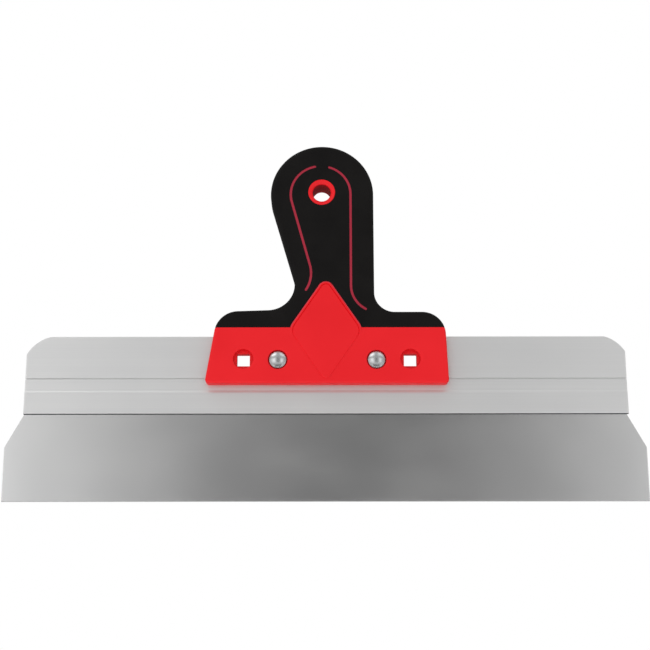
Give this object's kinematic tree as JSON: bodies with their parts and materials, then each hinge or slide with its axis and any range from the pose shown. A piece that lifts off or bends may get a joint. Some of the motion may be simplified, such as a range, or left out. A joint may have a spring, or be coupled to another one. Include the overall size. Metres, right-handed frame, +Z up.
{
  "type": "drywall taping knife",
  "caption": "Wide taping knife: flexible stainless blade with flared ends in an aluminium back, with a riveted two-material handle, a hanging hole and square holes for a pole bracket.",
  "frame": {"origin": "centre of the hanging hole, at mid thickness of the handle", "axes": "+X along the cutting edge to the right as seen from the front, +Y from the front with the rivet heads to the back, +Z up from the cutting edge to the hanging hole"},
  "size_m": [0.4, 0.019, 0.2318],
  "materials": {
    "stainless": "fine ground stainless strip, grain along the blade",
    "aluminium": "matt anodised extrusion",
    "red_plastic": "satin moulded",
    "black_rubber": "matt soft-touch",
    "plated_steel": "polished nickel plate",
    "zinc_steel": "bright zinc plate"
  },
  "bodies": {
    "root": {"blade": "stainless", "back_profile": "aluminium", "handle_core": "red_plastic", "grip_cover": "black_rubber", "rivets": "plated_steel", "rivet_washers": "zinc_steel"}
  },
  "joints": []
}
